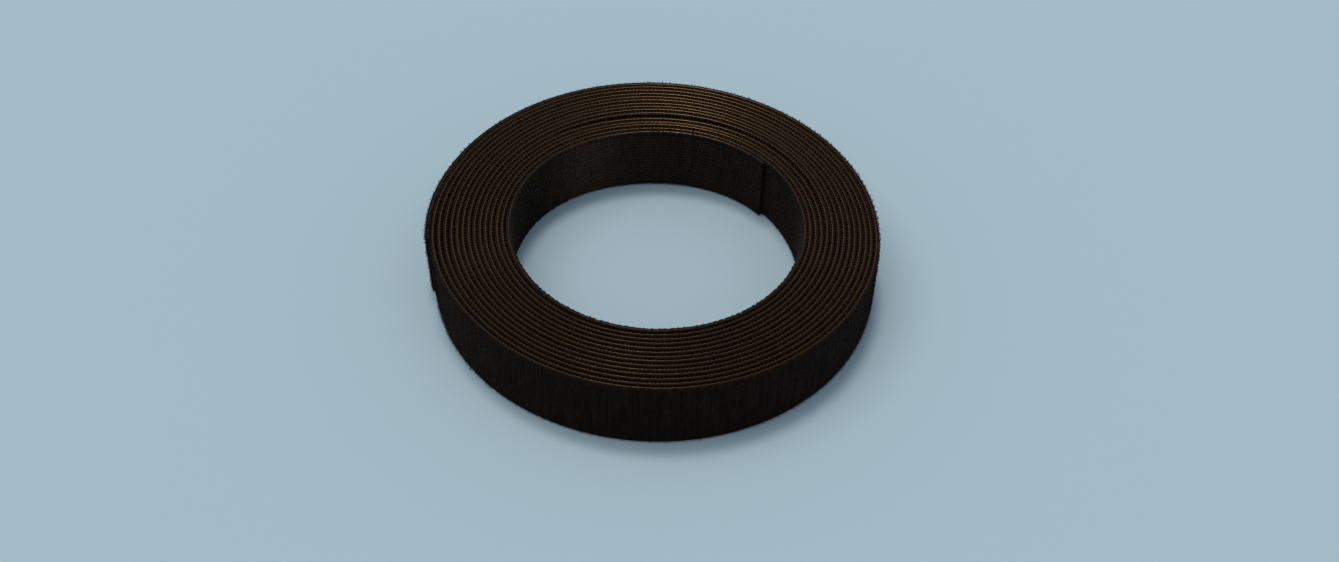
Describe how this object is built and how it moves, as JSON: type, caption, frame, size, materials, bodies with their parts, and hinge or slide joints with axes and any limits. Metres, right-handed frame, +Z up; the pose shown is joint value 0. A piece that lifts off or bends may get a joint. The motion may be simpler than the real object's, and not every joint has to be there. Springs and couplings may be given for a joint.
{
  "type": "hook and loop tape roll",
  "caption": "Coreless roll of back-to-back hook and loop tape, wound flat on itself with the hooks facing the bore, its inner and outer ends free to peel away from the winding.",
  "frame": {"origin": "on the winding axis, at the surface that the roll lies on", "axes": "+Z up along the winding axis, -Y towards the viewer of the picture, +X to the viewer's right; seen from above the tape runs anticlockwise from its inner end to its outer end"},
  "size_m": [0.1531, 0.1521, 0.025],
  "materials": {
    "hook_web": "black moulded nylon, satin, warm where it catches the light",
    "bond_film": "thin brownish laminating film between the two webs",
    "loop_web": "black brushed knit, matt, with a loop pile on its outer face"
  },
  "bodies": {
    "roll": {"wound_hook_web": "hook_web", "wound_bond_film": "bond_film", "wound_loop_web": "loop_web"},
    "outer_tail_1": {"outer_tail_1_hook_web": "hook_web", "outer_tail_1_bond_film": "bond_film", "outer_tail_1_loop_web": "loop_web"},
    "outer_tail_2": {"outer_tail_2_hook_web": "hook_web", "outer_tail_2_bond_film": "bond_film", "outer_tail_2_loop_web": "loop_web"},
    "outer_tail_3": {"outer_tail_3_hook_web": "hook_web", "outer_tail_3_bond_film": "bond_film", "outer_tail_3_loop_web": "loop_web"},
    "outer_tail_4": {"outer_tail_4_hook_web": "hook_web", "outer_tail_4_bond_film": "bond_film", "outer_tail_4_loop_web": "loop_web"},
    "outer_tail_5": {"outer_tail_5_hook_web": "hook_web", "outer_tail_5_bond_film": "bond_film", "outer_tail_5_loop_web": "loop_web"},
    "outer_tail_6": {"outer_tail_6_hook_web": "hook_web", "outer_tail_6_bond_film": "bond_film", "outer_tail_6_loop_web": "loop_web"},
    "inner_tail_1": {"inner_tail_1_hook_web": "hook_web", "inner_tail_1_bond_film": "bond_film", "inner_tail_1_loop_web": "loop_web"},
    "inner_tail_2": {"inner_tail_2_hook_web": "hook_web", "inner_tail_2_bond_film": "bond_film", "inner_tail_2_loop_web": "loop_web"},
    "inner_tail_3": {"inner_tail_3_hook_web": "hook_web", "inner_tail_3_bond_film": "bond_film", "inner_tail_3_loop_web": "loop_web"},
    "inner_tail_4": {"inner_tail_4_hook_web": "hook_web", "inner_tail_4_bond_film": "bond_film", "inner_tail_4_loop_web": "loop_web"}
  },
  "joints": [
    {"name": "outer_peel_1", "type": "hinge", "parent": "roll", "child": "outer_tail_1", "pos_m": [-0.01785, 0.07468, 0.0125], "axis": [0, 0, -1], "range_deg": [0, 30]},
    {"name": "outer_peel_2", "type": "hinge", "parent": "outer_tail_1", "child": "outer_tail_2", "pos_m": [-0.0359, 0.06796, 0.0125], "axis": [0, 0, -1], "range_deg": [0, 28.5]},
    {"name": "outer_peel_3", "type": "hinge", "parent": "outer_tail_2", "child": "outer_tail_3", "pos_m": [-0.05174, 0.05694, 0.0125], "axis": [0, 0, -1], "range_deg": [0, 22.5]},
    {"name": "outer_peel_4", "type": "hinge", "parent": "outer_tail_3", "child": "outer_tail_4", "pos_m": [-0.06434, 0.04231, 0.0125], "axis": [0, 0, -1], "range_deg": [0, 16.5]},
    {"name": "outer_peel_5", "type": "hinge", "parent": "outer_tail_4", "child": "outer_tail_5", "pos_m": [-0.07292, 0.02499, 0.0125], "axis": [0, 0, -1], "range_deg": [0, 13.5]},
    {"name": "outer_peel_6", "type": "hinge", "parent": "outer_tail_5", "child": "outer_tail_6", "pos_m": [-0.07692, 0.00607, 0.0125], "axis": [0, 0, -1], "range_deg": [0, 13.5]},
    {"name": "inner_peel_1", "type": "hinge", "parent": "roll", "child": "inner_tail_1", "pos_m": [-0.00829, 0.0473, 0.0125], "axis": [0, 0, -1], "range_deg": [0, 22]},
    {"name": "inner_peel_2", "type": "hinge", "parent": "inner_tail_1", "child": "inner_tail_2", "pos_m": [0.00376, 0.04814, 0.0125], "axis": [0, 0, -1], "range_deg": [0, 19.8]},
    {"name": "inner_peel_3", "type": "hinge", "parent": "inner_tail_2", "child": "inner_tail_3", "pos_m": [0.01584, 0.04632, 0.0125], "axis": [0, 0, -1], "range_deg": [0, 7.7]},
    {"name": "inner_peel_4", "type": "hinge", "parent": "inner_tail_3", "child": "inner_tail_4", "pos_m": [0.02719, 0.04141, 0.0125], "axis": [0, 0, -1], "range_deg": [-6.6, 0]}
  ],
  "couplings": [
    {"joint": "outer_peel_2", "follows": "outer_peel_1", "ratio": 0.95},
    {"joint": "outer_peel_3", "follows": "outer_peel_1", "ratio": 0.75},
    {"joint": "outer_peel_4", "follows": "outer_peel_1", "ratio": 0.55},
    {"joint": "outer_peel_5", "follows": "outer_peel_1", "ratio": 0.45},
    {"joint": "outer_peel_6", "follows": "outer_peel_1", "ratio": 0.45},
    {"joint": "inner_peel_2", "follows": "inner_peel_1", "ratio": 0.9},
    {"joint": "inner_peel_3", "follows": "inner_peel_1", "ratio": 0.35},
    {"joint": "inner_peel_4", "follows": "inner_peel_1", "ratio": -0.3}
  ]
}
